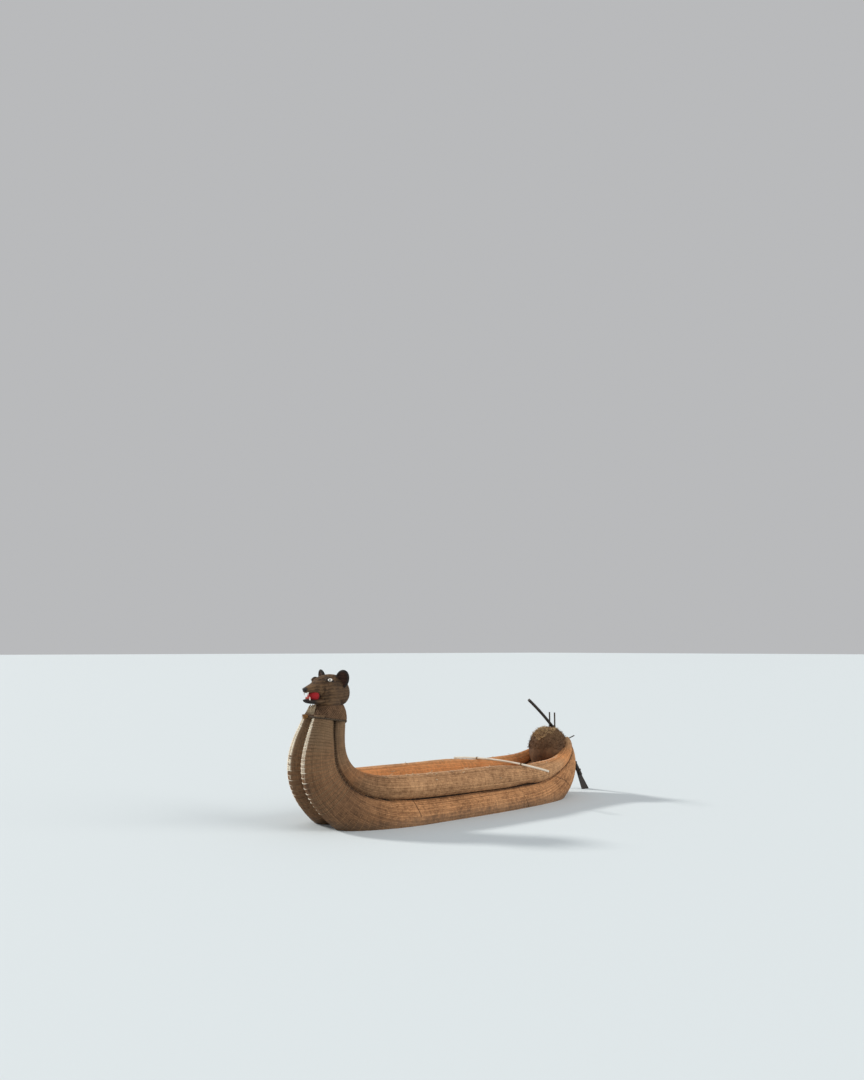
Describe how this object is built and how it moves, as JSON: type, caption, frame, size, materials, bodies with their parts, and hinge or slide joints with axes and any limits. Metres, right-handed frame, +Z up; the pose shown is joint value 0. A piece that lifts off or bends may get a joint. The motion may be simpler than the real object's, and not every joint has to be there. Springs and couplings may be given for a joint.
{
  "type": "reed boat",
  "caption": "Traditional twin-bundle reed boat with gunwale rolls, a tall neck with a big-cat head, a forked stern post and a sculling oar.",
  "frame": {"origin": "centre of the boat's overall length and breadth, on the floor that the hull bundles lie on", "axes": "+X to the bow, +Y to port, +Z up; the waterline is the mount waterline, 0.372 m above the floor"},
  "size_m": [6.5377, 2.3842, 2.745],
  "materials": {
    "reed_hull": "tightly bound golden-brown reed, weathered",
    "reed_roll": "tightly bound golden-brown reed",
    "reed_heart": "bound reed, orange-brown and shaded",
    "reed_mat": "woven reed mat",
    "reed_collar": "woven reed wrap",
    "reed_head": "fine wound reed, grey-brown",
    "jaw_dark": "wound reed, dyed black-brown",
    "ear_reed": "wound reed, dark rim and red-brown inside",
    "eye_white": "painted white with dark pupil",
    "nose_dark": "dyed black",
    "mouth_red": "red cloth",
    "tongue_red": "red cloth",
    "tooth_white": "white",
    "rope_dark": "twisted grass rope, dark",
    "rope_straw": "twisted grass rope, straw-coloured and weathered",
    "pupil_dark": "painted black",
    "reed_tuft": "loose straw ends",
    "reed_bolster": "dark brown bundled reed",
    "horn_dark": "smooth dark stick",
    "wood_dark": "wet dark timber",
    "pole_pale": "peeled bone-white pole"
  },
  "bodies": {
    "hull": {"hull_bundle_port": "reed_hull", "hull_bundle_starboard": "reed_hull", "gunwale_roll_port": "reed_roll", "gunwale_roll_starboard": "reed_roll", "heart_bundle": "reed_heart", "deck_mat": "reed_mat", "neck_collar": "reed_collar", "head_skull": "reed_head", "head_snout": "reed_head", "head_jaw": "jaw_dark", "ear_port": "ear_reed", "ear_starboard": "ear_reed", "eye_port": "eye_white", "eye_starboard": "eye_white", "nose": "nose_dark", "mouth_lining": "mouth_red", "tongue": "tongue_red", "teeth": "tooth_white", "neck_rope": "rope_dark", "neck_tuft": "reed_tuft", "neck_knot": "rope_dark", "stern_bolster": "reed_bolster", "stern_peg": "horn_dark", "oar_fork": "wood_dark", "cross_pole": "pole_pale", "pupil_port": "pupil_dark", "pupil_starboard": "pupil_dark"},
    "saddle": {"fork_saddle": "rope_dark"},
    "strop": {"oar_strop": "rope_dark"},
    "oar": {"oar_shaft": "wood_dark", "oar_blade": "wood_dark", "blade_bands": "rope_dark"}
  },
  "joints": [
    {"name": "oar_swing", "type": "hinge", "parent": "hull", "child": "saddle", "pos_m": [-2.21707, 0, 1.5577], "axis": [0, 0, 1], "range_deg": [-18, 18]},
    {"name": "oar_dip", "type": "hinge", "parent": "saddle", "child": "strop", "pos_m": [-2.21707, 0, 1.5577], "axis": [0, 1, 0], "range_deg": [-2, 20]},
    {"name": "oar_feather", "type": "hinge", "parent": "strop", "child": "oar", "pos_m": [-2.24493, 0, 1.58556], "axis": [-0.7071, 0, -0.7071], "range_deg": [-45, 45]}
  ]
}
